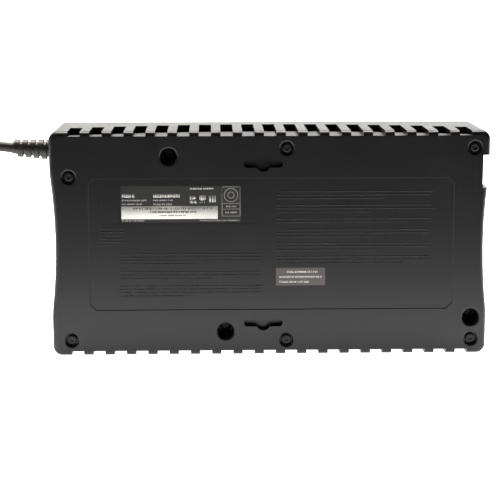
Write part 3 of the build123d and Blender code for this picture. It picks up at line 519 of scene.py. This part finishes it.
# ---- cord ---------------------------------------------------------------------------------------
CORD_D = 7.7 * MM
CORD_ROUTE = [
    (-198.5, -11.0, 157.9),
    (-218.5, -11.1, 160.6),
    (-237.5, -11.9, 155.6),
    (-253.0, -14.0, 142.4),
    (-262.5, -17.6, 122.0),
    (-266.0, -22.8, 94.0),
    (-268.5, -28.0, 66.0),
    (-275.2, -34.5, 41.3),
    (-287.5, -36.0, 23.5),
    (-305.9, -36.2, 13.7),
    (-325.8, -30.4, 11.6),
]
LEAD_ROUTE = [
    (-253.1, 18.1, 3.95),
    (-251.1, 8.2, 5.35),
    (-250.2, -1.8, 8.0),
    (-250.0, -12.0, 8.85),
]
PITCH = 7.76                    # from one turn, or layer, to the next
RING_R = 41.5                   # inner turn of the coil
LAYER_Z = 3.87                  # middle of the lower layer
START_ANGLE = -117.6            # where the coil starts
END_TURN = 2025.4               # degrees wound from the start of the coil to its end
COIL_STEP = 15.0                # degrees between the points of the coil
SHIFT = 100.0                   # degrees over which the cord moves to the next turn or layer
INWARDS = (280, 640)            # where the upper layer moves in by a turn
DOWN = 940                      # where the cord drops to the lower layer
OUTWARDS = (1240, 1600)         # where the lower layer moves out by a turn
# A curve of this order cuts inside its points, so they stand a little further out.
SPREAD = 1.0 / math.cos(math.radians(COIL_STEP / 2)) ** 0.5


def ease(x):
    """Smooth step from 0 to 1."""
    x = min(1.0, max(0.0, x))
    return x * x * (3.0 - 2.0 * x)


def coil_point(wound):
    """Point of the coil after the given degrees: upper layer inwards, then the lower one outwards."""
    steps_in = sum(ease((wound - start) / SHIFT) for start in INWARDS)
    steps_out = sum(ease((wound - start) / SHIFT) for start in OUTWARDS)
    radius = (RING_R + PITCH * (1 - steps_in + steps_out)) * SPREAD
    height = LAYER_Z + PITCH * (1.0 - ease((wound - DOWN) / SHIFT))
    low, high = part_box("cord_coil")
    centre = (low + high) / 2 / MM
    angle = math.radians(START_ANGLE - wound)
    return (centre.x + radius * math.cos(angle), centre.y + radius * math.sin(angle), height)


def cord():
    """The whole cord as one round curve: free stretch, coil and the lead to the plug."""
    points = list(CORD_ROUTE)
    wound = COIL_STEP
    while wound < END_TURN - COIL_STEP / 2:
        points.append(coil_point(wound))
        wound += COIL_STEP
    points.append(coil_point(END_TURN))
    points += LEAD_ROUTE
    curve = bpy.data.curves.new("power_cord_line", "CURVE")
    curve.dimensions = "3D"
    line = curve.splines.new("NURBS")
    line.points.add(len(points) - 1)
    for control, (x, y, z) in zip(line.points, points):
        control.co = (x * MM, y * MM, z * MM, 1.0)
    line.order_u = 3
    line.use_endpoint_u = True
    line.resolution_u = 6
    curve.bevel_depth = CORD_D / 2
    curve.bevel_resolution = 7
    curve.use_fill_caps = True
    curve.materials.append(CORD_BLACK)
    obj = bpy.data.objects.new("mains_cord", curve)
    bpy.context.scene.collection.objects.link(obj)
    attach(obj, "case")
    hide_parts("power_cord", "cord_coil", "cord_lead")
    return obj


# ---- plug ---------------------------------------------------------------------------------------
# Sections from the cord to the blades: share of the length, half width, half height in mm.
PLUG_SECTIONS = [
    (0.00, 4.6, 4.6), (0.02, 5.0, 5.0), (0.10, 5.2, 5.1), (0.13, 6.4, 6.0), (0.17, 6.4, 6.0),
    (0.20, 5.6, 5.4), (0.24, 6.9, 6.2), (0.28, 6.9, 6.2), (0.31, 6.2, 5.7), (0.36, 7.4, 6.4),
    (0.41, 7.6, 6.5), (0.55, 9.6, 7.3), (0.72, 12.2, 8.2), (0.84, 12.9, 8.45),
    (0.97, 12.9, 8.45), (1.00, 12.2, 7.9),
]
PLUG_STEPS = 40


def plug():
    """Moulded plug: tapered neck with grip ribs, rounded body and a face for the blades."""
    low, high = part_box("plug_body")
    cx, cz = (low.x + high.x) / 2, (low.z + high.z) / 2
    length = high.y - low.y
    loops = []
    for share, half_x, half_z in PLUG_SECTIONS:
        power = 2.0 + 1.4 * min(1.0, share * 1.3)     # round at the neck, squarer at the face
        loop = []
        for i in range(PLUG_STEPS):
            t = math.tau * i / PLUG_STEPS
            c, s = math.cos(t), math.sin(t)
            fit = (abs(c) ** power + abs(s) ** power) ** (-1.0 / power)
            loop.append((cx + half_x * MM * fit * c, high.y - share * length, cz + half_z * MM * fit * s))
        loops.append(loop)
    bm = bmesh.new()
    rings(bm, loops)
    piece = from_bmesh("plug_grip", bm, CORD_BLACK, slot="cord_black")
    round_edges(piece, 0.5 * MM, 3, 50)
    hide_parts("plug_body")
    blades = refined("plug_blades", 0.25 * MM, BLADE_BRASS, slot="blade_brass")
    return piece, blades


# ---- spring -------------------------------------------------------------------------------------
SPRING_WIRE_R = 0.30 * MM
SPRING_TURNS = 6
SPRING_STEPS = 24               # points to a turn


def spring():
    """Wire spring under the power button."""
    low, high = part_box("button_spring")
    cx, cz = (low.x + high.x) / 2, (low.z + high.z) / 2
    length = high.y - low.y
    coil_r = (high.x - low.x) / 2 - SPRING_WIRE_R
    count = SPRING_TURNS * SPRING_STEPS
    curve = bpy.data.curves.new("button_spring_line", "CURVE")
    curve.dimensions = "3D"
    line = curve.splines.new("POLY")
    line.points.add(count)
    for i, point in enumerate(line.points):
        t = math.tau * i / SPRING_STEPS
        y = low.y + SPRING_WIRE_R + (length - 2 * SPRING_WIRE_R) * i / count
        point.co = (cx + coil_r * math.cos(t), y, cz + coil_r * math.sin(t), 1.0)
    curve.bevel_depth = SPRING_WIRE_R
    curve.bevel_resolution = 3
    curve.use_fill_caps = True
    curve.materials.append(INNER["spring_steel"])
    obj = bpy.data.objects.new("button_spring_wire", curve)
    bpy.context.scene.collection.objects.link(obj)
    bpy.context.view_layer.update()
    mesh = bpy.data.meshes.new_from_object(obj.evaluated_get(bpy.context.evaluated_depsgraph_get()))
    bpy.data.objects.remove(obj)
    piece = new_piece("button_spring_wire", mesh, INNER["spring_steel"], slot="spring_steel")
    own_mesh(piece)
    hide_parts("button_spring")


# ---- studio -------------------------------------------------------------------------------------
FLOOR_HALF_X = 9.0
FLOOR_NEAR_Y = -6.0
SWEEP_Y = 4.0                   # where the floor starts to turn up
SWEEP_R = 2.0
SWEEP_STEPS = 16
BACKDROP_Z = 7.0
# Each ramp of the floor's own light: where it starts and ends, and its values there.
NEAR_RAMP = (-0.44, -0.12, 0.0, 1.5)       # along Y, from the dark strip up to painted light under the unit, where its shade would fall
FAR_RAMP = (-3.0, -1.5, 0.45, 0.0)         # along Y, the pale floor behind the camera
UPPER_RAMP = (0.23, 0.7, 1.0, 0.30)        # along Z, a dimmer backdrop above the camera's view


def sweep():
    """Floor that sweeps up into a backdrop."""
    profile = [(FLOOR_NEAR_Y, 0.0), (SWEEP_Y, 0.0)]
    for i in range(1, SWEEP_STEPS + 1):
        t = math.pi / 2 * i / SWEEP_STEPS
        profile.append((SWEEP_Y + SWEEP_R * math.sin(t), SWEEP_R - SWEEP_R * math.cos(t)))
    profile.append((SWEEP_Y + SWEEP_R, BACKDROP_Z))
    bm = bmesh.new()
    rows = [[bm.verts.new((x, y, z)) for y, z in profile] for x in (-FLOOR_HALF_X, FLOOR_HALF_X)]
    for i in range(len(profile) - 1):
        bm.faces.new((rows[0][i], rows[1][i], rows[1][i + 1], rows[0][i + 1]))
    mesh = bpy.data.meshes.new("studio_floor")
    bm.to_mesh(mesh)
    bm.free()
    for face in mesh.polygons:
        face.use_smooth = True
    floor = bpy.data.objects.new("studio_floor", mesh)
    bpy.context.scene.collection.objects.link(floor)
    return floor


def ramp(tree, source, values):
    """Output of a smooth step of the source; values as in the ramps above."""
    node = add_node(tree, "ShaderNodeMapRange", interpolation_type="SMOOTHSTEP")
    for key, value in zip(("From Min", "From Max", "To Min", "To Max"), values):
        node.inputs[key].default_value = value
    tree.links.new(source, node.inputs["Value"])
    return node.outputs["Result"]


def combine(tree, operation, first, second):
    """Output of a maths node that takes two outputs."""
    node = add_node(tree, "ShaderNodeMath", operation=operation)
    tree.links.new(first, node.inputs[0])
    tree.links.new(second, node.inputs[1])
    return node.outputs["Value"]


def stage():
    """Pale floor and backdrop with a light of their own, which the glossy base plate mirrors; the glow under
    the unit is painted light where its shade would fall.
    """
    floor = sweep()
    # The floor's glow is painted light: it brightens the floor under the unit, where the unit's shade would
    # fall.
    pale_and_glow = surface("floor_pale_glow", (0.90, 0.90, 0.89), 0.75, grain=0.00002, mottle=0.01,
                   sockets={"Emission Color": (1.0, 1.0, 1.0, 1.0)})
    tree = pale_and_glow.node_tree
    place = add_node(tree, "ShaderNodeTexCoord")
    split = add_node(tree, "ShaderNodeSeparateXYZ")
    tree.links.new(place.outputs["Object"], split.inputs["Vector"])
    along = combine(tree, "MAXIMUM", ramp(tree, split.outputs["Y"], NEAR_RAMP),
                    ramp(tree, split.outputs["Y"], FAR_RAMP))
    glow = combine(tree, "MULTIPLY", along, ramp(tree, split.outputs["Z"], UPPER_RAMP))
    tree.links.new(glow, tree.nodes["Principled BSDF"].inputs["Emission Strength"])
    dress(floor, pale_and_glow)


WARM = (1.0, 0.94, 0.87)
WORLD_COLOR = (0.95, 0.97, 1.0, 1.0)
WORLD_STRENGTH = 0.06


def area_light(name, place, target, size, power, color=(1.0, 1.0, 1.0), spread=180):
    """Rectangular lamp at a place, facing a target; the spread is in degrees."""
    lamp = bpy.data.lights.new(name, "AREA")
    lamp.shape = "RECTANGLE"
    lamp.size, lamp.size_y = size
    lamp.energy = power
    lamp.color = color
    lamp.spread = math.radians(spread)
    obj = bpy.data.objects.new(name, lamp)
    obj.location = place
    obj.rotation_euler = (Vector(target) - Vector(place)).to_track_quat("-Z", "Y").to_euler()
    bpy.context.scene.collection.objects.link(obj)


def lights():
    """Soft light from above and behind the unit, a little from the left, and a dim room in front."""
    bpy.context.scene.view_settings.view_transform = "Standard"
    world = bpy.data.worlds.new("studio")
    bpy.context.scene.world = world
    world.use_nodes = True
    world.node_tree.nodes["Background"].inputs["Color"].default_value = WORLD_COLOR
    world.node_tree.nodes["Background"].inputs["Strength"].default_value = WORLD_STRENGTH
    area_light("top_soft", (0.0, 0.75, 1.7), (0.0, 0.55, 0.0), (2.4, 1.2), 34.0, (1.0, 0.93, 0.86), 75)
    area_light("back_soft", (0.0, 2.2, 2.4), (0.0, 4.5, 0.6), (6.0, 2.0), 150.0, WARM)
    area_light("side_soft", (-2.0, -0.8, 1.2), (0.0, 0.0, 0.1), (1.2, 1.2), 2.0)


# ---- camera -------------------------------------------------------------------------------------
CAMERA_AT = (-0.04272, -1.15948, 0.28574)
CAMERA_DOWN, CAMERA_RIGHT, CAMERA_ROLL = 10.327, 1.4015, -0.056     # degrees
FOCAL_MM, SENSOR_MM = 106.78, 36.0


def camera():
    """Long lens, a little above the unit, looking at the base plate."""
    lens = bpy.data.cameras.new("camera")
    lens.sensor_width = SENSOR_MM
    lens.lens = FOCAL_MM
    lens.clip_start, lens.clip_end = 0.05, 60.0
    obj = bpy.data.objects.new("camera", lens)
    obj.location = CAMERA_AT
    pitch, yaw, roll = (math.radians(a) for a in (CAMERA_DOWN, CAMERA_RIGHT, CAMERA_ROLL))
    turn = Matrix.Rotation(-yaw, 4, "Z") @ Matrix.Rotation(math.pi / 2 - pitch, 4, "X")
    obj.rotation_euler = (turn @ Matrix.Rotation(roll, 4, "Z")).to_euler()
    bpy.context.scene.collection.objects.link(obj)
    bpy.context.scene.camera = obj


# ---- the build ----------------------------------------------------------------------------------
camera()
line = cord()
grip, blades = plug()
stage()
lights()
dress_nodes()
shells()
screw_heads("case_screws", "case_screw_heads", 3.9 * MM, 2.4 * MM)
screw_heads("chassis_screws", "chassis_screw_heads", 4.4 * MM, 2.6 * MM)
label_print()
small_label_print()
moulded_lines()
spring()
